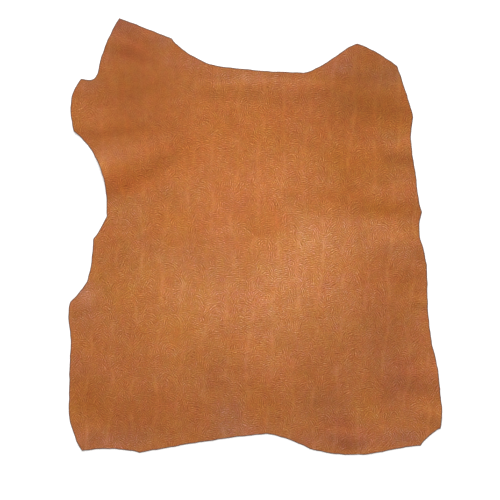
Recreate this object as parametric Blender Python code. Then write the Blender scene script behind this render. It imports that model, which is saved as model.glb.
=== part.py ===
"""A whole goat hide, tanned and embossed, laid out flat with its grain side up.

Metres. +Y runs to the neck end, +X to the hide's right flank as seen from above, and +Z is up, from
the flesh side to the grain side. The origin is on the surface that the hide lies on, at the middle
of the rectangle that just holds it.
"""

import math
from collections import namedtuple

import bmesh
import bpy

MM = 0.001

# Driving dimensions: flank to flank, neck lobe to hind edge, and the leather's own thickness.
HIDE_WIDTH = 708 * MM
HIDE_LENGTH = 827 * MM
THICKNESS = 1.2 * MM

# How finely the sheet is cut up: its outline, and the grid that lets it take its waves.
OUTLINE_STEP = 11 * MM
GRID_PITCH = 9 * MM
SNAP = 1.5 * MM

# A wave lower than this lies flat on the surface.
LEAST_LIFT = 0.05 * MM
CREASE_ANGLE = math.radians(40)

LEATHER_COLOUR = (0.46, 0.156, 0.048, 1.0)
LEATHER_ROUGHNESS = 0.5

# The cut edge, clockwise from the tip of the left neck lobe. Each row is one stretch: the corner
# where it starts, in millimetres from the middle of the hide, how far the stretch bows outwards
# (inwards below zero), and how far along it the bow is deepest.
Stretch = namedtuple("Stretch", "name x y bow deepest")
CUT_EDGE = (
    Stretch("neck lobe", -258, 414, 1, 0.50),
    Stretch("nape, left turn", -158, 375, -5, 0.45),
    Stretch("nape", -87, 327, -3.5, 0.45),
    Stretch("nape, right turn", 92, 311, -4, 0.45),
    Stretch("right neck rise", 160, 348, 2, 0.60),
    Stretch("right shoulder top", 193, 366, 4, 0.50),
    Stretch("right shoulder", 269, 323, 1, 0.50),
    Stretch("right armpit", 299, 226, -6, 0.50),
    Stretch("right chest", 304, 123, -3.5, 0.65),
    Stretch("right flank hollow", 316, 47, -2, 0.45),
    Stretch("right flank turn", 311, 0, 1.2, 0.60),
    Stretch("right flank", 325, -54, -5, 0.60),
    Stretch("right thigh", 339, -219, 2, 0.35),
    Stretch("right hock", 354, -329, 0.5, 0.50),
    Stretch("right hind corner", 351, -364, -3, 0.50),
    Stretch("right hind edge", 313, -396, -1, 0.30),
    Stretch("right rump", 213, -413, 4.5, 0.50),
    Stretch("rump turn", 104, -403, -4, 0.50),
    Stretch("tail root", 21, -374, -3, 0.45),
    Stretch("left rump", -219, -410, -5.5, 0.45),
    Stretch("left hind corner", -328, -406, 3, 0.45),
    Stretch("left hock", -352, -348, 2, 0.30),
    Stretch("left thigh", -350, -196, 3.5, 0.65),
    Stretch("left flank corner", -351, -124, -1.5, 0.60),
    Stretch("left flank turn", -321, -88, -3.2, 0.40),
    Stretch("left flank hollow", -307, -5, -1, 0.50),
    Stretch("left armpit", -282, 39, -22, 0.52),
    Stretch("left shoulder", -344, 200, 13.5, 0.55),
    Stretch("ear notch", -330, 299, -7.5, 0.60),
    Stretch("left neck side", -299, 310, 5.5, 0.50),
)

# The soft waves that the hide keeps when it is laid out. Each row is one wave, in millimetres: where
# its crest is highest, mostly at the cut edge, where it dies out, how far the crest bends sideways
# between the two, how far the wave reaches towards the neck end and towards the hind edge where it
# is highest, and its height there.
Wave = namedtuple("Wave", "name x y end_x end_y bend neckward hindward height")
WAVES = (
    Wave("neck lobe wave", -272, 368, -192, 332, 3, 26, 26, 2.5),
    Wave("left shoulder ripple", -354, 210, -190, 220, -8, 60, 30, 2.8),
    Wave("left armpit wave", -301, 105, -104, 198, -4, 66, 56, 8.5),
    Wave("left flank lift", -352, -136, -270, -112, 0, 34, 32, 2.5),
    Wave("left hind curl", -338, -398, -280, -350, 4, 26, 26, 2),
    Wave("nape wave, left half", 36, 281, -140, 286, 2, 27, 40, 2.8),
    Wave("nape wave, right half", 36, 281, 190, 284, -2, 27, 40, 2.8),
    Wave("right shoulder wave", 289, 262, 135, 272, 0, 46, 60, 4.5),
    Wave("right armpit ripple", 303, 160, 225, 164, 2, 40, 34, 3.5),
    Wave("right chest wave", 308, 73, 130, 68, 2, 40, 44, 4.5),
    Wave("right flank wave", 325, -14, 210, -6, 3, 40, 40, 3.5),
    Wave("right thigh lift", 331, -124, 280, -118, 0, 22, 24, 2),
    Wave("right hock wave", 347, -266, 250, -262, 0, 36, 48, 3),
    Wave("right hind curl", 355, -346, 280, -334, -3, 26, 26, 2.5),
    Wave("rump pucker", 182, -381, 122, -368, 0, 24, 28, 2.5),
)
# The share of its reach that a wave has lost where it dies out.
WAVE_TAPER = 0.5


def bowed_point(start, end, bow, deepest, along):
    """A point on a bowed stretch, where along runs from 0 at its start to 1 at its end."""
    run_x = end.x - start.x
    run_y = end.y - start.y
    length = math.hypot(run_x, run_y)
    skewed = along ** (math.log(0.5) / math.log(deepest))
    out = bow * 4 * skewed * (1 - skewed)
    return (
        start.x + run_x * along - run_y / length * out,
        start.y + run_y * along + run_x / length * out,
    )


def cut_edge_points(step):
    """The whole cut edge as points about step apart, fitted to the hide's width and length."""
    points = []
    for number, start in enumerate(CUT_EDGE):
        end = CUT_EDGE[(number + 1) % len(CUT_EDGE)]
        length = math.hypot(end.x - start.x, end.y - start.y) * MM
        pieces = max(1, round(length / step))
        for piece in range(pieces):
            along = piece / pieces
            points.append(bowed_point(start, end, start.bow, start.deepest, along))
    return fitted(points)


def fitted(points):
    """The points moved and scaled so that their rectangle is centred and has the hide's size."""
    low_x = min(x for x, y in points)
    high_x = max(x for x, y in points)
    low_y = min(y for x, y in points)
    high_y = max(y for x, y in points)
    across = HIDE_WIDTH / (high_x - low_x)
    along = HIDE_LENGTH / (high_y - low_y)
    middle_x = (low_x + high_x) / 2
    middle_y = (low_y + high_y) / 2
    return [((x - middle_x) * across, (y - middle_y) * along) for x, y in points]


def swell(distance):
    """A smooth swell that is 1 at distance 0 and falls to 0 at distance 1 and past it."""
    if distance >= 1:
        return 0.0
    return 0.5 + 0.5 * math.cos(math.pi * distance)


def wave_height(wave, x, y):
    """The height of one wave over the point x, y, all in millimetres."""
    run_x = wave.end_x - wave.x
    run_y = wave.end_y - wave.y
    length = math.hypot(run_x, run_y)
    along = ((x - wave.x) * run_x + (y - wave.y) * run_y) / length
    across = ((y - wave.y) * run_x - (x - wave.x) * run_y) / length
    share = min(max(along / length, 0.0), 1.0)
    beside = across - wave.bend * 4 * share * (1 - share)
    before = min(along, 0.0)
    reach = wave.neckward if beside * run_x > 0 else wave.hindward
    reach *= 1 - WAVE_TAPER * share
    return wave.height * swell(share * share) * swell(math.hypot(beside, before) / reach)


def lift(x, y):
    """How far the hide stands off the surface at x, y, in metres."""
    height = max(wave_height(wave, x / MM, y / MM) for wave in WAVES) * MM
    return height if height > LEAST_LIFT else 0.0


def cut_across(bm, faces, axis, planes):
    """Cuts the faces along each of the planes square to the axis, halving the job each time."""
    if not planes or not faces:
        return
    middle = len(planes) // 2
    plane = planes[middle]
    point = [0.0, 0.0, 0.0]
    normal = [0.0, 0.0, 0.0]
    point[axis] = plane
    normal[axis] = 1.0
    edges = dict.fromkeys(edge for face in faces for edge in face.edges)
    corners = dict.fromkeys(corner for face in faces for corner in face.verts)
    cut = bmesh.ops.bisect_plane(
        bm,
        geom=[*corners, *edges, *faces],
        dist=SNAP,
        plane_co=point,
        plane_no=normal,
    )
    pieces = [item for item in cut["geom"] if isinstance(item, bmesh.types.BMFace)]
    below = [face for face in pieces if face.calc_center_median()[axis] < plane]
    above = [face for face in pieces if face.calc_center_median()[axis] >= plane]
    cut_across(bm, below, axis, planes[:middle])
    cut_across(bm, above, axis, planes[middle + 1 :])


def cut_grid(bm, axis, size, pitch):
    """Cuts the whole sheet square to the axis, about a pitch apart."""
    strips = round(size / pitch)
    planes = [size * (number / strips - 0.5) for number in range(1, strips)]
    cut_across(bm, bm.faces[:], axis, planes)


def hide_mesh():
    """The hide as one closed sheet: cut out flat, raised into its waves and given its thickness."""
    bm = bmesh.new()
    edge = [bm.verts.new((x, y, 0.0)) for x, y in cut_edge_points(OUTLINE_STEP)]
    bm.faces.new(reversed(edge))
    cut_grid(bm, 0, HIDE_WIDTH, GRID_PITCH)
    cut_grid(bm, 1, HIDE_LENGTH, GRID_PITCH)
    bmesh.ops.triangulate(bm, faces=bm.faces[:])
    for vert in bm.verts:
        vert.co.z = lift(vert.co.x, vert.co.y)
    grown = bmesh.ops.extrude_face_region(bm, geom=bm.faces[:], use_keep_orig=True)
    grain_side = [item for item in grown["geom"] if isinstance(item, bmesh.types.BMVert)]
    bmesh.ops.translate(bm, verts=grain_side, vec=(0, 0, THICKNESS))
    bmesh.ops.recalc_face_normals(bm, faces=bm.faces[:])
    mesh = bpy.data.meshes.new("hide")
    bm.to_mesh(mesh)
    bm.free()
    mesh.shade_smooth()
    mesh.set_sharp_from_angle(angle=CREASE_ANGLE)
    return mesh


def leather_material():
    material = bpy.data.materials.new("leather")
    material.use_nodes = True
    shader = material.node_tree.nodes["Principled BSDF"]
    shader.inputs["Base Color"].default_value = LEATHER_COLOUR
    shader.inputs["Roughness"].default_value = LEATHER_ROUGHNESS
    shader.inputs["Metallic"].default_value = 0.0
    return material


def clear_scene():
    for old in list(bpy.data.objects):
        bpy.data.objects.remove(old)


def main():
    clear_scene()
    hide = bpy.data.objects.new("hide", hide_mesh())
    hide.data.materials.append(leather_material())
    bpy.context.scene.collection.objects.link(hide)


main()
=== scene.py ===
"""The looks of a whole goat hide, tanned, embossed with leafy strokes and laid out grain side up.

Metres, in the frame's axes: +Y to the neck end, +X to the right flank as seen from above, +Z up.
"""

import math
from collections import namedtuple

import bmesh
import bpy
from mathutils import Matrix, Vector, kdtree, noise


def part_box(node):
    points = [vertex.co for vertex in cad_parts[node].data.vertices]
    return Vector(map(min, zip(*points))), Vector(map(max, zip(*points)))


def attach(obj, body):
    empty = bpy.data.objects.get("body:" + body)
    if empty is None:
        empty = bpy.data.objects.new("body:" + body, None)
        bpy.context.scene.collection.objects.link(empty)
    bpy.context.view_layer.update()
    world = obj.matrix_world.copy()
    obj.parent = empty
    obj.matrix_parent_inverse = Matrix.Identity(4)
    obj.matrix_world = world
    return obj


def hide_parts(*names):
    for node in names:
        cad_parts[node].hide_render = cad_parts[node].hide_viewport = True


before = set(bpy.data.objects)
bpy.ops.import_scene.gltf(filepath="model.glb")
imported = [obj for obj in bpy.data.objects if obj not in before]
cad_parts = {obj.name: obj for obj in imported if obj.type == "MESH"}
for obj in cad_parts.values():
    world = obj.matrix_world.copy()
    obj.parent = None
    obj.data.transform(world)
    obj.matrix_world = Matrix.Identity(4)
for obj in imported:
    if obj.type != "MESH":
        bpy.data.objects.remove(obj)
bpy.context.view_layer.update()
HIDE_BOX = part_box("hide")

bl_info = {
    "name": "Embossed goat hide",
    "version": (1, 0, 0),
    "blender": (4, 5, 0),
    "location": "3D View > Sidebar > Hide",
    "description": "Builds an embossed leather hide laid out flat, and a plain studio for it",
    "category": "Object",
}

MM = 0.001

# The cut edge, clockwise from the tip of the left neck lobe. Each row is one stretch: the corner
# where it starts, in millimetres from the middle of the hide, how far the stretch bows outwards
# (inwards below zero), and how far along it the bow is deepest.
Stretch = namedtuple("Stretch", "name x y bow deepest")
CUT_EDGE = (
    Stretch("neck lobe", -258, 414, 1, 0.50),
    Stretch("nape, left turn", -158, 375, -5, 0.45),
    Stretch("nape", -87, 327, -3.5, 0.45),
    Stretch("nape, right turn", 92, 311, -4, 0.45),
    Stretch("right neck rise", 160, 348, 2, 0.60),
    Stretch("right shoulder top", 193, 366, 4, 0.50),
    Stretch("right shoulder", 269, 323, 1, 0.50),
    Stretch("right armpit", 299, 226, -6, 0.50),
    Stretch("right chest", 304, 123, -3.5, 0.65),
    Stretch("right flank hollow", 316, 47, -2, 0.45),
    Stretch("right flank turn", 311, 0, 1.2, 0.60),
    Stretch("right flank", 325, -54, -5, 0.60),
    Stretch("right thigh", 339, -219, 2, 0.35),
    Stretch("right hock", 354, -329, 0.5, 0.50),
    Stretch("right hind corner", 351, -364, -3, 0.50),
    Stretch("right hind edge", 313, -396, -1, 0.30),
    Stretch("right rump", 213, -413, 4.5, 0.50),
    Stretch("rump turn", 104, -403, -4, 0.50),
    Stretch("tail root", 21, -374, -3, 0.45),
    Stretch("left rump", -219, -410, -5.5, 0.45),
    Stretch("left hind corner", -328, -406, 3, 0.45),
    Stretch("left hock", -352, -348, 2, 0.30),
    Stretch("left thigh", -350, -196, 3.5, 0.65),
    Stretch("left flank corner", -351, -124, -1.5, 0.60),
    Stretch("left flank turn", -321, -88, -3.2, 0.40),
    Stretch("left flank hollow", -307, -5, -1, 0.50),
    Stretch("left armpit", -282, 39, -22, 0.52),
    Stretch("left shoulder", -344, 200, 13.5, 0.55),
    Stretch("ear notch", -330, 299, -7.5, 0.60),
    Stretch("left neck side", -299, 310, 5.5, 0.50),
)

# The soft waves that the hide keeps when it is laid out. Each row is one wave, in millimetres: where
# its crest is highest, mostly at the cut edge, where it dies out, how far the crest bends sideways
# between the two, how far the wave reaches towards the neck end and towards the hind edge where it
# is highest, and its height there.
Wave = namedtuple("Wave", "name x y end_x end_y bend neckward hindward height")
WAVES = (
    Wave("neck lobe wave", -272, 368, -192, 332, 3, 26, 26, 2.5),
    Wave("left shoulder ripple", -354, 210, -190, 220, -8, 60, 30, 2.8),
    Wave("left armpit wave", -301, 105, -104, 198, -4, 66, 56, 8.5),
    Wave("left flank lift", -352, -136, -270, -112, 0, 34, 32, 2.5),
    Wave("left hind curl", -338, -398, -280, -350, 4, 26, 26, 2),
    Wave("nape wave, left half", 36, 281, -140, 286, 2, 27, 40, 2.8),
    Wave("nape wave, right half", 36, 281, 190, 284, -2, 27, 40, 2.8),
    Wave("right shoulder wave", 289, 262, 135, 272, 0, 46, 60, 4.5),
    Wave("right armpit ripple", 303, 160, 225, 164, 2, 40, 34, 3.5),
    Wave("right chest wave", 308, 73, 130, 68, 2, 40, 44, 4.5),
    Wave("right flank wave", 325, -14, 210, -6, 3, 40, 40, 3.5),
    Wave("right thigh lift", 331, -124, 280, -118, 0, 22, 24, 2),
    Wave("right hock wave", 347, -266, 250, -262, 0, 36, 48, 3),
    Wave("right hind curl", 355, -346, 280, -334, -3, 26, 26, 2.5),
    Wave("rump pucker", 182, -381, 122, -368, 0, 24, 28, 2.5),
)
# The share of its reach that a wave has lost where it dies out.
WAVE_TAPER = 0.5

# Soft patches that shift the colour of the grain side. Some are painted light: the bright patches over
# the back and waist are partly a painted sheen and pool of light, and patches along the waves paint
# light on their lit slopes and a deeper, redder shade in their troughs and creases. The others vary the
# tone unevenly over the hide. Each row is one soft patch, in millimetres: its middle, how far it
# reaches across and along the hide, and how many steps lighter (darker below zero), pinker (a
# stronger orange below zero) and yellower (redder below zero) its middle is.
Patch = namedtuple("Patch", "name x y across along light pink yellow")
PATCHES = (
    # The next five patches brighten the middle of the hide: partly paler leather, partly a painted sheen
    # and a painted pool of light.
    Patch("bright back", 70, -52, 182, 152, 19, -5, 0),
    Patch("bright back, right end", 127, 12, 110, 76, 12, -3, 0),
    Patch("bright back, low end", -25, -143, 163, 114, 15, -4, 0),
    Patch("bright back, hind side", 123, -130, 114, 95, 5, -3, 0),
    Patch("bright left waist", -151, -86, 152, 141, 15, -6, 0),
    Patch("bright left thigh", -158, -216, 160, 87, 4, -1, 0),
    Patch("bright left side", -223, 28, 114, 76, 5, 0, 0),
    Patch("bright middle", -56, 85, 186, 156, 11, -10, -4),
    Patch("bright right shoulder blade", 56, 107, 133, 106, 8, -6, -2),
    Patch("bright loin", 37, -216, 125, 76, 9, -1, 0),
    Patch("bright spine", -59, -18, 65, 68, 6, -3, 0),
    Patch("deep spine", 13, 9, 76, 91, -3, -9, 0),
    Patch("deep loin, left", 20, -113, 49, 38, 0, -4, 0),
    Patch("deep right blade", 142, 64, 114, 49, -1, -11, 0),
    Patch("deep right chest", 245, 52, 99, 34, -2, -15, 0),
    # The next three patches paint the deeper, redder colour of the shade in the left armpit wave's
    # trough.
    Patch("deep left armpit", -208, 132, 125, 65, -2, -15, -2),
    Patch("deep left armpit edge", -248, 96, 76, 42, 0, -14, -8),
    Patch("deep left armpit end", -115, 164, 87, 38, 0, -8, -3),
    Patch("left shoulder end", -181, 191, 76, 49, -7, 2, 0),
    # The next two patches paint light and a paler sheen on the lit, neckward slope of the left armpit
    # wave.
    Patch("left armpit edge", -295, 136, 30, 46, 11, 2, 0),
    Patch("left armpit light", -257, 155, 84, 27, 2, 12, 0),
    Patch("deep shoulders", -29, 225, 247, 95, 2, -13, -3),
    Patch("deep left neck", -181, 278, 65, 38, 0, -6, 0),
    Patch("deep withers", 20, 180, 57, 38, -2, -8, 0),
    Patch("deep right blade, neckward", 127, 172, 103, 65, 0, -9, 0),
    Patch("deep right side", 207, 134, 87, 76, 0, -12, 0),
    Patch("deep back, right", 153, -52, 84, 38, 0, -5, 0),
    Patch("deep loin", -1, -219, 95, 49, 0, -8, 0),
    Patch("deep right loin", 218, -314, 49, 84, 0, -8, 0),
    Patch("deep left thigh", -324, -216, 68, 49, 0, -6, 0),
    Patch("deep right shoulder", 245, 218, 95, 72, -5, -11, 0),
    Patch("deep right shoulder top", 226, 326, 57, 27, 0, -9, 0),
    Patch("right shoulder spot", 188, 290, 76, 38, -9, 0, 0),
    Patch("deep left waist", -257, -86, 106, 114, 0, -4, 6),
    Patch("deep loin, right", 85, -269, 95, 46, 0, -7, 0),
    Patch("right blade spot", 195, 77, 76, 23, -7, 0, 0),
    Patch("deep left side", -158, 28, 103, 76, -2, -10, -2),
    Patch("deep left loin", -143, -178, 114, 114, 0, -8, 0),
    Patch("neck tip", -253, 402, 72, 46, -9, 20, 0),
    Patch("neck spot", -225, 354, 65, 42, -10, 2, -4),
    Patch("neck lobe", -210, 297, 141, 125, -8, -1, 0),
    Patch("neck right edge", -172, 373, 49, 27, 1, 16, 0),
    Patch("neck left edge", -287, 358, 34, 57, 0, 8, 0),
    Patch("nape left edge", -124, 335, 84, 30, 3, 8, 0),
    # This patch is partly painted light on the lit slope of the nape wave, partly a paler, pinker edge.
    Patch("nape edge", -20, 301, 125, 27, 6, 10, 0),
    Patch("ear notch", -318, 290, 46, 30, 1, 12, 0),
    Patch("left lobe", -286, 250, 114, 84, -6, -2, 0),
    # The next two patches paint shade, and its deeper colour, on the hindward slope of the left shoulder
    # ripple.
    Patch("left lobe arc", -291, 195, 95, 27, -4, -4, -2),
    Patch("deep left lobe arc", -230, 201, 80, 25, 0, -10, 0),
    Patch("left lobe spot", -249, 214, 65, 38, -6, 0, 0),
    Patch("right shoulder", 214, 259, 160, 91, -15, -4, 4),
    Patch("right shoulder corner", 157, 324, 49, 38, 0, 14, 0),
    Patch("right shoulder edge", 260, 313, 57, 57, 0, 14, 0),
    Patch("right shoulder top", 218, 335, 87, 61, -9, 9, 0),
    Patch("right shoulder wave", 227, 288, 68, 38, 0, 8, 0),
    Patch("right armpit", 252, 189, 49, 27, 2, 9, 0),
    Patch("right chest, neckward", 246, 140, 114, 38, -6, -3, 0),
    Patch("right chest end", 165, 123, 49, 72, -5, -4, 4),
    Patch("right waist", 241, 16, 84, 38, 11, -1, 0),
    Patch("right flank edge", 290, -33, 53, 46, 3, 3, 0),
    # This patch paints light over the shaded, hindward slope of the right flank wave.
    Patch("right flank light", 265, -18, 84, 30, 7, 0, 0),
    Patch("right flank", 294, -86, 65, 57, -6, 0, 0),
    Patch("right thigh", 246, -187, 76, 106, -7, 7, 0),
    Patch("right hock", 271, -282, 106, 87, -8, 9, -2),
    Patch("right hind corner", 322, -320, 46, 38, 1, -4, 0),
    Patch("rump", 127, -311, 95, 99, -8, 8, 0),
    Patch("tail root", -48, -333, 53, 49, 1, 16, 0),
    Patch("tail", 18, -311, 65, 65, -3, -8, 0),
    # The next two patches paint the shade of the rump crease.
    Patch("rump crease", 170, -398, 49, 23, -11, 4, 0),
    Patch("rump crease end", 161, -360, 61, 53, -8, 4, -6),
    Patch("rump edge, left", 123, -390, 114, 34, 2, 14, 0),
    Patch("right hind edge", 284, -383, 76, 30, 2, 16, 0),
    Patch("tail edge", -33, -368, 103, 27, 2, 12, 0),
    Patch("rump edge", 210, -383, 84, 38, 0, 9, -5),
    Patch("left hock", -318, -307, 68, 65, -12, -4, 0),
    Patch("left rump", -200, -337, 160, 65, -9, 0, 0),
    Patch("left rump edge", -223, -371, 53, 28, -7, 0, 0),
    Patch("left hind edge", -257, -383, 152, 38, 2, 12, 0),
    Patch("left flank corner", -325, -107, 49, 34, 9, 12, 0),
    Patch("left thigh", -333, -244, 42, 49, -2, 6, 0),
    Patch("left flank", -310, -149, 57, 65, 8, 3, 0),
)
# Where the pattern is worn away: the middle, the reach and the share that is gone there.
Worn = namedtuple("Worn", "name x y across along share")
WORN = (
    Worn("neck lobe", -215, 301, 152, 152, 0.80),
    Worn("left shoulder", -270, 170, 91, 110, 0.50),
    Worn("right shoulder", 214, 290, 110, 91, 0.35),
)


class HideSizes(bpy.types.PropertyGroup):
    """The sheet's own sizes."""

    width: bpy.props.FloatProperty(
        name="Width",
        description="Widest span, flank to flank",
        default=HIDE_BOX[1].x - HIDE_BOX[0].x,
        subtype="DISTANCE",
        unit="LENGTH",
    )
    length: bpy.props.FloatProperty(
        name="Length",
        description="Longest span, neck lobe to hind edge",
        default=HIDE_BOX[1].y - HIDE_BOX[0].y,
        subtype="DISTANCE",
        unit="LENGTH",
    )
    thickness: bpy.props.FloatProperty(
        name="Thickness",
        description="Thickness of the leather",
        default=1.2 * MM,
        precision=4,
        subtype="DISTANCE",
        unit="LENGTH",
    )
    edge_round: bpy.props.FloatProperty(
        name="Edge rounding",
        description="How far the grain face rolls over at the cut edge",
        default=0.3 * MM,
        precision=4,
        subtype="DISTANCE",
        unit="LENGTH",
    )
    outline_step: bpy.props.FloatProperty(
        name="Outline step",
        description="Spacing of the points along the cut edge",
        default=2.5 * MM,
        precision=4,
        subtype="DISTANCE",
        unit="LENGTH",
    )
    grain_pitch: bpy.props.FloatProperty(
        name="Grain side pitch",
        description="Mesh spacing on the grain side",
        default=2.7 * MM,
        precision=4,
        subtype="DISTANCE",
        unit="LENGTH",
    )
    flesh_pitch: bpy.props.FloatProperty(
        name="Flesh side pitch",
        description="Mesh spacing on the flesh side",
        default=7 * MM,
        precision=4,
        subtype="DISTANCE",
        unit="LENGTH",
    )


def colour_property(name, description, default):
    return bpy.props.FloatVectorProperty(
        name=name,
        description=description,
        default=default,
        size=3,
        min=0.0,
        max=1.0,
        subtype="COLOR",
    )


class HideColours(bpy.types.PropertyGroup):
    """The dye's tones, the bare flesh side and the cut edge."""

    tan: colour_property("Tan", "The dye", (0.386, 0.1165, 0.0242))
    flesh: colour_property("Flesh side", "The suede underside", (0.500, 0.300, 0.165))
    # The cut colour also darkens the grain side close to its edge, partly as painted shade.
    cut: colour_property("Cut edge", "The fibres that show at the cut", (0.105, 0.058, 0.044))


class EmbossSettings(bpy.types.PropertyGroup):
    """The plate that pressed the leafy strokes into the grain."""

    stem_pitch: bpy.props.FloatProperty(
        name="Stem pitch",
        description="Distance between the upright stems",
        default=43 * MM,
        subtype="DISTANCE",
        unit="LENGTH",
    )
    stem_repeat: bpy.props.FloatProperty(
        name="Stem repeat",
        description="Length of one sway of a stem",
        default=184 * MM,
        subtype="DISTANCE",
        unit="LENGTH",
    )
    leaf_size: bpy.props.FloatProperty(
        name="Leaf size",
        description="Typical width of one leafy cluster of strokes",
        default=14 * MM,
        subtype="DISTANCE",
        unit="LENGTH",
    )
    stroke_pitch: bpy.props.FloatProperty(
        name="Stroke pitch",
        description="Distance between neighbouring strokes",
        default=3.6 * MM,
        precision=4,
        subtype="DISTANCE",
        unit="LENGTH",
    )
    depth: bpy.props.FloatProperty(
        name="Depth",
        description="Depth of the pressed strokes",
        default=0.1 * MM,
        precision=5,
        subtype="DISTANCE",
        unit="LENGTH",
    )
    turn: bpy.props.FloatProperty(
        name="Turn",
        description="How far the plate lay askew on the hide",
        default=math.radians(3.2),
        subtype="ANGLE",
        unit="ROTATION",
    )


class StageSettings(bpy.types.PropertyGroup):
    """The plain studio and the camera straight above the hide."""

    floor_radius: bpy.props.FloatProperty(
        name="Floor radius",
        description="Radius of the pale floor",
        default=4.0,
        subtype="DISTANCE",
        unit="LENGTH",
    )
    floor_colour: colour_property("Floor colour", "The pale floor", (0.94, 0.94, 0.94))
    lens: bpy.props.FloatProperty(
        name="Lens",
        description="Focal length in millimetres",
        default=85.0,
    )
    view_width: bpy.props.FloatProperty(
        name="View width",
        description="Width of floor that the picture takes in",
        default=0.947,
        subtype="DISTANCE",
        unit="LENGTH",
    )
    aim_x: bpy.props.FloatProperty(
        name="Aim across",
        description="Where the camera aims, to the right of the hide's middle",
        default=-10 * MM,
        subtype="DISTANCE",
        unit="LENGTH",
    )
    aim_y: bpy.props.FloatProperty(
        name="Aim along",
        description="Where the camera aims, towards the neck from the hide's middle",
        default=-25.6 * MM,
        subtype="DISTANCE",
        unit="LENGTH",
    )


# Shapes


def bowed_point(start, end, bow, deepest, along):
    """A point on a bowed stretch, where along runs from 0 at its start to 1 at its end."""
    run_x = end.x - start.x
    run_y = end.y - start.y
    length = math.hypot(run_x, run_y)
    skewed = along ** (math.log(0.5) / math.log(deepest))
    out = bow * 4 * skewed * (1 - skewed)
    return (
        start.x + run_x * along - run_y / length * out,
        start.y + run_y * along + run_x / length * out,
    )


def cut_edge_points(sizes):
    """The whole cut edge as points, fitted to the hide's width and length."""
    points = []
    for number, start in enumerate(CUT_EDGE):
        end = CUT_EDGE[(number + 1) % len(CUT_EDGE)]
        length = math.hypot(end.x - start.x, end.y - start.y) * MM
        pieces = max(1, round(length / sizes.outline_step))
        for piece in range(pieces):
            along = piece / pieces
            points.append(bowed_point(start, end, start.bow, start.deepest, along))
    return fitted(ragged(points), sizes)


def ragged(points):
    """The points moved a little in and out, as a knife wanders."""
    moved = []
    run = 0.0
    for number, (x, y) in enumerate(points):
        last_x, last_y = points[number - 1]
        next_x, next_y = points[(number + 1) % len(points)]
        run += math.hypot(x - last_x, y - last_y)
        out = sum(size * math.sin(run / length + start) for size, length, start in KNIFE_WANDER)
        ahead = Vector((next_x - last_x, next_y - last_y)).normalized()
        moved.append((x - ahead.y * out, y + ahead.x * out))
    return moved


# How the cut wanders off its line: how far, over what length and from where, in millimetres.
KNIFE_WANDER = ((0.3, 13.0, 0.0), (0.25, 5.3, 1.0), (0.15, 2.9, 2.0))


def fitted(points, sizes):
    """The points moved and scaled so that their rectangle is centred and has the hide's size."""
    low_x = min(x for x, y in points)
    high_x = max(x for x, y in points)
    low_y = min(y for x, y in points)
    high_y = max(y for x, y in points)
    across = sizes.width / (high_x - low_x)
    along = sizes.length / (high_y - low_y)
    middle_x = (low_x + high_x) / 2
    middle_y = (low_y + high_y) / 2
    return [((x - middle_x) * across, (y - middle_y) * along) for x, y in points]


def swell(distance):
    """A smooth swell that is 1 at distance 0 and falls to 0 at distance 1 and past it."""
    if distance >= 1:
        return 0.0
    return 0.5 + 0.5 * math.cos(math.pi * distance)


def wave_height(wave, x, y):
    """The height of one wave over the point x, y, all in millimetres."""
    run_x = wave.end_x - wave.x
    run_y = wave.end_y - wave.y
    length = math.hypot(run_x, run_y)
    along = ((x - wave.x) * run_x + (y - wave.y) * run_y) / length
    across = ((y - wave.y) * run_x - (x - wave.x) * run_y) / length
    share = min(max(along / length, 0.0), 1.0)
    beside = across - wave.bend * 4 * share * (1 - share)
    before = min(along, 0.0)
    reach = wave.neckward if beside * run_x > 0 else wave.hindward
    reach *= 1 - WAVE_TAPER * share
    return wave.height * swell(share * share) * swell(math.hypot(beside, before) / reach)


def lift(x, y):
    """How far the hide stands off the surface at x, y, in metres."""
    return max(wave_height(wave, x / MM, y / MM) for wave in WAVES) * MM


def cockle(x, y, inland):
    """The slight unevenness of a hide, which settles towards its cut edge, all in metres."""
    height = COCKLE_REST
    for size, spread in COCKLES:
        height += size * noise.noise(Vector((x / spread, y / spread, size / MM)))
    return max(height, 0.0) * (1 - swell(inland / COCKLE_INLAND))


# The unevenness: how high, over what spread, how much of it clears the floor and where it is whole.
COCKLES = ((1.0 * MM, 62 * MM), (0.45 * MM, 27 * MM))
COCKLE_REST = 0.25 * MM
COCKLE_INLAND = 45 * MM


# The rings along the cut edge, each as far in from the last one, where the edge rolls and where its
# colour darkens towards the cut's, partly the darker cut rim and partly painted shade along the edge.
RIM_RINGS = (0.4 * MM, 0.8 * MM, 1.2 * MM)
SNAP_SHARE = 0.12
WELD = 0.02 * MM
GRAIN, FLESH, CUT = 0, 1, 2


def cut_across(bm, faces, axis, planes, snap):
    """Cuts the faces along each of the planes square to the axis, halving the job each time."""
    if not planes or not faces:
        return
    middle = len(planes) // 2
    plane = planes[middle]
    point = [0.0, 0.0, 0.0]
    normal = [0.0, 0.0, 0.0]
    point[axis] = plane
    normal[axis] = 1.0
    edges = dict.fromkeys(edge for face in faces for edge in face.edges)
    corners = dict.fromkeys(corner for face in faces for corner in face.verts)
    cut = bmesh.ops.bisect_plane(
        bm,
        geom=[*corners, *edges, *faces],
        dist=snap,
        plane_co=point,
        plane_no=normal,
    )
    pieces = [item for item in cut["geom"] if isinstance(item, bmesh.types.BMFace)]
    below = [face for face in pieces if face.calc_center_median()[axis] < plane]
    above = [face for face in pieces if face.calc_center_median()[axis] >= plane]
    cut_across(bm, below, axis, planes[:middle], snap)
    cut_across(bm, above, axis, planes[middle + 1 :], snap)


def grid_planes(size, pitch):
    """The planes that cut a length into strips about a pitch wide."""
    strips = round(size / pitch)
    return [size * (number / strips - 0.5) for number in range(1, strips)]


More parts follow.
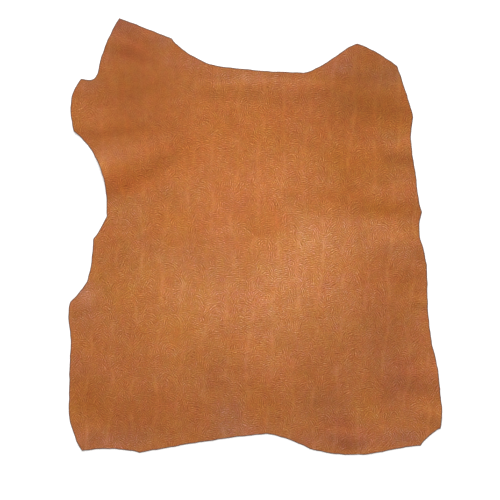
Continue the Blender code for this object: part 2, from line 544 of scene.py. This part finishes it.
def side_of_hide(sizes, pitch, height):
    """One face of the sheet: the outline, narrow rings along it, and a grid inside them."""
    bm = bmesh.new()
    rim = bm.verts.layers.float.new("rim")
    edge = [bm.verts.new((x, y, 0.0)) for x, y in cut_edge_points(sizes)]
    to_edge = kdtree.KDTree(len(edge))
    for number, corner in enumerate(edge):
        to_edge.insert(corner.co, number)
    to_edge.balance()
    field = bm.faces.new(reversed(edge))
    field.normal_update()
    depth = 0.0
    for ring in RIM_RINGS:
        bmesh.ops.inset_region(
            bm, faces=[field], thickness=ring, use_boundary=True, use_even_offset=True
        )
        depth += ring
        for corner in field.verts:
            corner[rim] = depth
    rings = set(bm.faces) - {field}
    cut_across(bm, [field], 0, grid_planes(sizes.width, pitch), pitch * SNAP_SHARE)
    inside = [face for face in bm.faces if face not in rings]
    cut_across(bm, inside, 1, grid_planes(sizes.length, pitch), pitch * SNAP_SHARE)
    for corner in bm.verts:
        x, y, _ = corner.co
        inland = to_edge.find(corner.co)[2]
        corner.co.z = lift(x, y) + cockle(x, y, inland) + height
    return bm


def boundary(bm):
    """The edges along the open border of a mesh, and their corners."""
    edges = [edge for edge in bm.edges if edge.is_boundary]
    corners = list(dict.fromkeys(corner for edge in edges for corner in edge.verts))
    return edges, corners


def hide_mesh(sizes):
    """The hide as one closed sheet with a fine grain side, a plainer flesh side and a cut edge."""
    bm = side_of_hide(sizes, sizes.flesh_pitch, 0.0)
    bmesh.ops.reverse_faces(bm, faces=bm.faces[:])
    for face in bm.faces:
        face.material_index = FLESH
    flesh = bpy.data.meshes.new("flesh side")
    bm.to_mesh(flesh)
    bm.free()

    bm = side_of_hide(sizes, sizes.grain_pitch, sizes.thickness)
    edges, corners = boundary(bm)
    for corner in corners:
        corner.co.z -= sizes.edge_round
    wall = bmesh.ops.extrude_edge_only(bm, edges=edges)
    foot = [item for item in wall["geom"] if isinstance(item, bmesh.types.BMVert)]
    for item in wall["geom"]:
        if isinstance(item, bmesh.types.BMFace):
            item.material_index = CUT
    bmesh.ops.translate(bm, verts=foot, vec=(0, 0, sizes.edge_round - sizes.thickness))
    bm.from_mesh(flesh)
    bpy.data.meshes.remove(flesh)
    bmesh.ops.remove_doubles(bm, verts=boundary(bm)[1], dist=WELD)
    bmesh.ops.triangulate(bm, faces=bm.faces[:])
    bmesh.ops.recalc_face_normals(bm, faces=bm.faces[:])
    mesh = bpy.data.meshes.new("hide")
    bm.to_mesh(mesh)
    bm.free()
    mesh.shade_smooth()
    mesh.set_sharp_from_angle(angle=CREASE_ANGLE)
    return mesh


CREASE_ANGLE = math.radians(50)


# Finishes


class Wire:
    """One output socket. Arithmetic on it adds Math nodes to its recipe."""

    def __init__(self, recipe, socket):
        self.recipe = recipe
        self.socket = socket

    def math(self, operation, *numbers):
        inputs = dict(enumerate(numbers))
        return self.recipe.node("ShaderNodeMath", {"operation": operation}, inputs)

    def __add__(self, other):
        return self.math("ADD", self, other)

    def __radd__(self, other):
        return self.math("ADD", other, self)

    def __sub__(self, other):
        return self.math("SUBTRACT", self, other)

    def __rsub__(self, other):
        return self.math("SUBTRACT", other, self)

    def __mul__(self, other):
        return self.math("MULTIPLY", self, other)

    def __rmul__(self, other):
        return self.math("MULTIPLY", other, self)

    def __truediv__(self, other):
        return self.math("DIVIDE", self, other)

    def __pow__(self, other):
        return self.math("POWER", self, other)

    def __abs__(self):
        return self.math("ABSOLUTE", self)

    def sine(self):
        return self.math("SINE", self)

    def cosine(self):
        return self.math("COSINE", self)

    def nearest(self):
        return self.math("ROUND", self)

    def kept_under(self, most):
        return self.math("MINIMUM", self, most)


class Recipe:
    """A finish as it is mixed: it holds the node tree of a material or world and adds nodes."""

    def __init__(self, name, world=None):
        self.owner = world or bpy.data.materials.new(name)
        self.owner.use_nodes = True
        self.tree = self.owner.node_tree

    def node(self, kind, settings=None, inputs=None, output=0):
        """Adds a node with these settings, fills or links its sockets and returns one output."""
        made = self.tree.nodes.new(kind)
        for name, value in (settings or {}).items():
            if name == "stops":
                self.set_stops(made.color_ramp, value)
            else:
                setattr(made, name, value)
        for name, value in (inputs or {}).items():
            self.feed(self.socket(made.inputs, name), value)
        return Wire(self, self.socket(made.outputs, output))

    def socket(self, sockets, name):
        """A socket by its number, its identifier or its label."""
        if isinstance(name, int):
            return sockets[name]
        for socket in sockets:
            if socket.identifier == name:
                return socket
        return sockets[name]

    def feed(self, socket, value):
        if isinstance(value, Wire):
            self.tree.links.new(value.socket, socket)
        else:
            socket.default_value = value

    def set_stops(self, ramp, stops):
        for place, colour in stops[len(ramp.elements) :]:
            ramp.elements.new(place)
        for element, (place, colour) in zip(ramp.elements, stops):
            element.position = place
            element.color = colour

    def place(self):
        """The point on the piece in plan, in millimetres."""
        metres = self.node("ShaderNodeTexCoord", output="Object")
        return self.vector("MULTIPLY", metres, (1 / MM, 1 / MM, 0.0))

    def vector(self, operation, *vectors, output=0, **named):
        inputs = {**dict(enumerate(vectors)), **named}
        return self.node("ShaderNodeVectorMath", {"operation": operation}, inputs, output)

    def parts(self, vector):
        """The three parts of a vector."""
        split = self.node("ShaderNodeSeparateXYZ", inputs={0: vector}).socket.node
        return [Wire(self, socket) for socket in split.outputs]

    def blend(self, factor, first, second):
        """The colour that turns from the first to the second as the factor goes from 0 to 1."""
        inputs = {"Factor_Float": factor, "A_Color": first, "B_Color": second}
        return self.node("ShaderNodeMix", {"data_type": "RGBA"}, inputs, "Result_Color")

    def ease(self, value, low, high, to_low=0.0, to_high=1.0):
        """A smooth step from to_low at low to to_high at high."""
        inputs = {0: value, 1: low, 2: high, 3: to_low, 4: to_high}
        return self.node("ShaderNodeMapRange", {"interpolation_type": "SMOOTHSTEP"}, inputs)

    def noise(self, place, size, detail=2.0, roughness=0.5, output=0):
        """Cloudy noise between 0 and 1 whose blotches are about size millimetres across."""
        inputs = {"Vector": place, "Scale": 1 / size, "Detail": detail, "Roughness": roughness}
        return self.node("ShaderNodeTexNoise", inputs=inputs, output=output)

    def swayed(self, place, size, amount):
        """The place pushed about by up to half of amount, in swirls of the size."""
        push = self.noise(place, size, detail=1.0, output="Color")
        centred = self.vector("SUBTRACT", push, (0.5, 0.5, 0.5))
        return self.vector("ADD", place, self.vector("SCALE", centred, Scale=amount))

    def bump(self, height, under=None):
        """A normal from a height in millimetres, on top of the one under it."""
        inputs = {"Height": height, "Distance": MM, "Strength": 1.0}
        if under:
            inputs["Normal"] = under
        return self.node("ShaderNodeBump", inputs=inputs)

    def finish(self, **sockets):
        shader = self.tree.nodes["Principled BSDF"]
        for name, value in sockets.items():
            self.feed(shader.inputs[name.replace("_", " ")], value)
        return self.owner


def rgba(colour):
    return (*colour, 1.0)


def patch_weight(recipe, place, patch):
    """How far the point lies in a patch, from 0 outside it to 1 in the middle."""
    shrink = (1 / patch.across, 1 / patch.along, 0.0)
    shift = (-patch.x / patch.across, -patch.y / patch.along, 0.0)
    scaled = recipe.vector("MULTIPLY_ADD", place, shrink, shift)
    distance = recipe.vector("LENGTH", scaled, output="Value")
    return recipe.ease(distance, 1.0, 0.0)


def patch_steps(recipe, place):
    """How many steps lighter, pinker and yellower the patches make the colour, as a vector; part of it is
    painted sheen, light and shade.
    """
    steps = (0.0, 0.0, 0.0)
    for patch in PATCHES:
        weight = patch_weight(recipe, place, patch)
        most = (patch.light, patch.pink, patch.yellow)
        change = recipe.vector("SCALE", most, Scale=weight)
        steps = recipe.vector("ADD", steps, change)
    return steps


def worn_share(recipe, place):
    """How much of the pattern is worn away."""
    share = 0.0
    for worn in WORN:
        share = patch_weight(recipe, place, worn) * worn.share + share
    return share.kept_under(1.0)


# What one step lighter, pinker or yellower adds to the logarithm of the dye's red, green and blue.
LIGHT_STEP = (0.0126, 0.0218, 0.0450)
PINK_STEP = (-0.0062, -0.0030, 0.0290)
YELLOW_STEP = (-0.0050, 0.0125, -0.0100)


def dye_and_painted_light(recipe, colour, steps):
    """The colour moved by steps: a vector of how much lighter, pinker and yellower it is, which holds
    uneven tone as well as painted sheen, light and shade.
    """
    power = (0.0, 0.0, 0.0)
    for part, step in zip(recipe.parts(steps), (LIGHT_STEP, PINK_STEP, YELLOW_STEP)):
        power = recipe.vector("ADD", power, recipe.vector("SCALE", step, Scale=part))
    grown = recipe.vector("POWER", (math.e, math.e, math.e), power)
    return recipe.vector("MULTIPLY", tuple(colour), grown)


Strokes = namedtuple("Strokes", "ridge stem worn")


def pressed_strokes(recipe, place, emboss):
    """The pressed pattern: swaying stems, and between them leafy clusters of curved strokes."""
    inputs = {"Vector": place, "Angle": emboss.turn}
    turned = recipe.node("ShaderNodeVectorRotate", {"rotation_type": "Z_AXIS"}, inputs)
    swayed = recipe.swayed(turned, STEM_DRIFT_SIZE, STEM_DRIFT)
    across, along, _ = recipe.parts(swayed)
    stem_pitch = emboss.stem_pitch / MM
    lane = (across / stem_pitch).nearest()
    beat = along * (2 * math.pi * MM / emboss.stem_repeat) + lane * math.pi
    from_stem = across - lane * stem_pitch - beat.sine() * STEM_SWAY
    shown = recipe.ease(recipe.noise(turned, STEM_FADE_SIZE, detail=1.0), 0.36, 0.66)
    stem = recipe.ease(abs(from_stem), STEM_HALF_WIDTH, 0.0) * shown

    swirled = recipe.swayed(turned, SWIRL_SIZE, SWIRL_PUSH)
    leaf = {"Vector": swirled, "Scale": MM / emboss.leaf_size, "Randomness": 0.95}
    flat = {"voronoi_dimensions": "2D"}
    middle = recipe.node("ShaderNodeTexVoronoi", flat, leaf, "Position")
    chance = recipe.node("ShaderNodeTexVoronoi", flat, leaf, "Color")
    border = {**flat, "feature": "DISTANCE_TO_EDGE"}
    inside = recipe.node("ShaderNodeTexVoronoi", border, leaf)
    leaf_across, _, _ = recipe.parts(middle)
    luck, more_luck, last_luck = recipe.parts(chance)
    lean = (leaf_across * (2 * math.pi / stem_pitch)).sine() * LEAF_LEAN
    angle = lean - math.pi / 2 + (luck - 0.5) * LEAF_SCATTER
    reach = LEAF_REACH + more_luck * LEAF_REACH_SPREAD
    root = {0: angle.cosine() * reach, 1: angle.sine() * reach}
    focus = recipe.vector("ADD", middle, recipe.node("ShaderNodeCombineXYZ", inputs=root))
    wander = recipe.noise(turned, WANDER_SIZE, detail=1.0) * WANDER
    ripple = recipe.vector("DISTANCE", swirled, focus, output="Value") + wander
    ripple = ripple * (MM / emboss.stroke_pitch)
    wave = ((ripple + last_luck) * (2 * math.pi)).sine()
    pressed = recipe.ease(recipe.noise(turned, PRESS_SIZE, detail=2.0), 0.3, 0.65, 0.45, 1.0)
    broken = recipe.ease(recipe.noise(turned, BREAK_SIZE, detail=1.0), 0.38, 0.58, 0.15, 1.0)
    worn = worn_share(recipe, place)
    strength = recipe.ease(inside, 0.0, 0.1) * (1 - stem) * pressed * broken * (1 - worn)
    return Strokes(wave * strength, stem * (1 - worn), worn)


STEM_SWAY = 4.0
STEM_HALF_WIDTH = 6.0
STEM_DRIFT_SIZE = 50.0
STEM_DRIFT = 16.0
STEM_FADE_SIZE = 45.0
SWIRL_SIZE = 20.0
SWIRL_PUSH = 8.0
LEAF_LEAN = 0.9
LEAF_SCATTER = 1.6
LEAF_REACH = 11.0
LEAF_REACH_SPREAD = 26.0
WANDER_SIZE = 7.0
WANDER = 4.0
PRESS_SIZE = 26.0
BREAK_SIZE = 5.0


def grain_finish(colours, emboss):
    """The grain side with its dye, polish and embossing; its colour also holds painted sheen, painted
    light and shade on the waves, and painted shade along the cut edge.
    """
    recipe = Recipe("embossed grain")
    place = recipe.place()
    drifted = recipe.swayed(place, DRIFT_SIZE, DRIFT)
    strokes = pressed_strokes(recipe, place, emboss)
    mottle = recipe.noise(place, MOTTLE_SIZE, detail=4.0, roughness=1.0, output="Color")
    mottle = recipe.vector("SUBTRACT", mottle, (0.5, 0.5, 0.5))
    drawn_out = recipe.vector("MULTIPLY", place, (1.0, STREAK_DRAW, 0.0))
    streak = recipe.noise(drawn_out, STREAK_SIZE, detail=2.0, output="Color")
    streak = recipe.vector("SUBTRACT", streak, (0.5, 0.5, 0.5))
    speckle = recipe.noise(place, SPECKLE_SIZE, detail=2.0, roughness=0.7, output="Color")
    speckle = recipe.vector("SUBTRACT", speckle, (0.5, 0.5, 0.5))
    speckle = recipe.vector("SCALE", speckle, Scale=1 - strokes.worn * 0.6)

    steps = recipe.vector("MULTIPLY_ADD", mottle, MOTTLE_STEPS, patch_steps(recipe, drifted))
    light, _, _ = recipe.parts(steps)
    bolder = 1 + light * BOLDER_PER_STEP
    ridge = strokes.ridge * bolder
    pressed = ridge * STROKE_STEPS + strokes.stem * STEM_STEPS
    steps = recipe.vector("MULTIPLY_ADD", streak, STREAK_STEPS, steps)
    steps = recipe.vector("MULTIPLY_ADD", speckle, SPECKLE_STEPS, steps)
    steps = recipe.vector("ADD", steps, recipe.vector("SCALE", PRESSED_STEP, Scale=pressed))
    # The steps go onto the tan: uneven tone, and the painted sheen, light and shade of the patches.
    colour = dye_and_painted_light(recipe, colours.tan, steps)

    # The grain side darkens towards the cut colour close to its edge: partly the darker cut rim, partly
    # painted shade along the edge.
    rim = recipe.node("ShaderNodeAttribute", {"attribute_name": "rim"}, output="Fac") / MM
    colour = recipe.blend(recipe.ease(rim, 2.7, 0.8, 0.0, 0.9), colour, rgba(colours.cut))

    pores = recipe.node("ShaderNodeTexVoronoi", None, {"Vector": place, "Scale": 1 / 1.6})
    embossing = (ridge * 0.5 + strokes.stem * 0.3) * (emboss.depth / MM)
    grit, _, _ = recipe.parts(speckle)
    height = embossing + pores * 0.02 + grit * 0.06
    return recipe.finish(
        Base_Color=colour,
        Roughness=0.55 - ridge * 0.05,
        Specular_IOR_Level=0.12,
        Coat_Weight=0.04,
        Coat_Roughness=0.5,
        Normal=recipe.bump(height),
    )


DRIFT_SIZE = 40.0
DRIFT = 16.0
MOTTLE_SIZE = 130.0
MOTTLE_STEPS = (37.0, 32.0, 30.0)
STREAK_SIZE = 10.0
STREAK_DRAW = 0.45
STREAK_STEPS = (12.0, 14.0, 14.0)
PRESSED_STEP = (1.0, -0.1, 0.0)
SPECKLE_SIZE = 2.2
SPECKLE_STEPS = (92.0, 30.0, 34.0)
STROKE_STEPS = 26.0
STEM_STEPS = 9.0
BOLDER_PER_STEP = 0.011


def flesh_finish(colours):
    """The napped flesh side."""
    recipe = Recipe("suede flesh side")
    place = recipe.place()
    nap = recipe.noise(place, 2.2, detail=4.0, roughness=0.7)
    cloud = recipe.noise(place, 45.0, detail=3.0)
    colour = recipe.blend(recipe.ease(cloud, 0.3, 0.7, 0.0, 0.45), rgba(colours.flesh), rgba(colours.tan))
    colour = recipe.blend(recipe.ease(nap, 0.5, 0.75, 0.0, 0.3), colour, rgba(colours.cut))
    return recipe.finish(Base_Color=colour, Roughness=0.95, Normal=recipe.bump(nap * 0.4))


def cut_finish(colours):
    """The fibres that show at the cut edge."""
    recipe = Recipe("fibrous cut edge")
    place = recipe.place()
    fibre = recipe.noise(place, 0.8, detail=3.0, roughness=0.7)
    colour = recipe.blend(recipe.ease(fibre, 0.35, 0.7), rgba(colours.cut), rgba(colours.flesh))
    return recipe.finish(Base_Color=colour, Roughness=0.9, Normal=recipe.bump(fibre * 0.3))


# Operators


def link(obj):
    bpy.context.scene.collection.objects.link(obj)
    return obj


class HIDE_OT_leather(bpy.types.Operator):
    """Builds the hide with its grain side, flesh side and cut edge"""

    bl_idname = "hide.leather"
    bl_label = "Leather hide"

    def execute(self, context):
        scene = context.scene
        sizes = scene.hide_sizes
        hide = link(bpy.data.objects.new("goat_hide", hide_mesh(sizes)))
        hide.data.materials.append(grain_finish(scene.hide_colours, scene.hide_emboss))
        hide.data.materials.append(flesh_finish(scene.hide_colours))
        hide.data.materials.append(cut_finish(scene.hide_colours))
        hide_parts("hide")
        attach(hide, "root")
        plan_area(hide.data)
        return {"FINISHED"}


def plan_area(mesh):
    """The area that the hide covers, seen from above."""
    flesh = [face for face in mesh.polygons if face.material_index == FLESH]
    return sum(face.area * abs(face.normal.z) for face in flesh)


def area_light(name, place, aim, size, power, colour):
    """A soft square light at a place, turned to face its aim."""
    light = bpy.data.lights.new(name, "AREA")
    light.shape = "SQUARE"
    light.size = size
    light.energy = power
    light.color = colour
    lamp = link(bpy.data.objects.new(name, light))
    lamp.location = place
    lamp.rotation_euler = (Vector(aim) - Vector(place)).to_track_quat("-Z", "Y").to_euler()
    return lamp


class HIDE_OT_stage(bpy.types.Operator):
    """Lays a pale floor, hangs the soft lights and sets the camera straight above the hide"""

    bl_idname = "hide.stage"
    bl_label = "Stage"

    def execute(self, context):
        settings = context.scene.hide_stage
        self.lay_floor(settings)
        self.hang_lights()
        self.set_camera(settings)
        context.scene.view_settings.view_transform = "Standard"
        return {"FINISHED"}

    def lay_floor(self, settings):
        bm = bmesh.new()
        bmesh.ops.create_circle(bm, cap_ends=True, segments=96, radius=settings.floor_radius)
        bmesh.ops.translate(bm, verts=bm.verts[:], vec=(0, 0, -FLOOR_DROP))
        mesh = bpy.data.meshes.new("pale floor")
        bm.to_mesh(mesh)
        bm.free()
        floor = link(bpy.data.objects.new("pale_floor", mesh))
        recipe = Recipe("pale floor")
        floor.data.materials.append(
            recipe.finish(
                Base_Color=rgba(settings.floor_colour),
                Roughness=0.9,
                Emission_Color=rgba(settings.floor_colour),
                Emission_Strength=0.15,
            )
        )

    def hang_lights(self):
        middle = (0.0, 0.0, 0.0)
        white = (1.0, 1.0, 1.0)
        area_light("overhead soft light", (0.15, -0.20, 3.4), middle, 2.2, 48.0, white)
        area_light("neck end light", (-0.9, 6.6, 4.35), middle, 3.0, 580.0, white)

        world = bpy.data.worlds.new("pale studio")
        world.use_nodes = True
        recipe = Recipe("pale studio", world)
        direction = recipe.node("ShaderNodeTexCoord", output="Generated")
        _, _, height = recipe.parts(direction)
        light = recipe.ease(height, 0.0, 0.6, WALL_LIGHT, CEILING_LIGHT)
        background = recipe.tree.nodes["Background"]
        recipe.feed(background.inputs["Strength"], light)
        recipe.feed(background.inputs["Color"], rgba(white))
        bpy.context.scene.world = world

    def set_camera(self, settings):
        camera = bpy.data.cameras.new("camera above")
        camera.lens = settings.lens
        camera.sensor_width = SENSOR_WIDTH
        height = settings.view_width * settings.lens / SENSOR_WIDTH
        holder = link(bpy.data.objects.new("camera above", camera))
        holder.location = (settings.aim_x, settings.aim_y, height)
        bpy.context.scene.camera = holder


SENSOR_WIDTH = 36.0
WALL_LIGHT = 0.8
CEILING_LIGHT = 0.25
FLOOR_DROP = 0.2 * MM


class HIDE_PT_panel(bpy.types.Panel):
    """The hide's builders and settings in the sidebar"""

    bl_idname = "HIDE_PT_panel"
    bl_label = "Embossed hide"
    bl_space_type = "VIEW_3D"
    bl_region_type = "UI"
    bl_category = "Hide"

    def draw(self, context):
        layout = self.layout
        for operator in (HIDE_OT_leather, HIDE_OT_stage):
            layout.operator(operator.bl_idname)
        for group in SETTINGS:
            settings = getattr(context.scene, group)
            for name in settings.bl_rna.properties.keys():
                if name not in ("rna_type", "name"):
                    layout.prop(settings, name)


SETTINGS = {
    "hide_sizes": HideSizes,
    "hide_colours": HideColours,
    "hide_emboss": EmbossSettings,
    "hide_stage": StageSettings,
}
CLASSES = (*SETTINGS.values(), HIDE_OT_leather, HIDE_OT_stage, HIDE_PT_panel)


def register():
    for cls in CLASSES:
        bpy.utils.register_class(cls)
    for name, group in SETTINGS.items():
        setattr(bpy.types.Scene, name, bpy.props.PointerProperty(type=group))


def unregister():
    for name in SETTINGS:
        delattr(bpy.types.Scene, name)
    for cls in reversed(CLASSES):
        bpy.utils.unregister_class(cls)


def main():
    register()
    bpy.ops.hide.stage()
    bpy.ops.hide.leather()


if __name__ == "__main__":
    main()
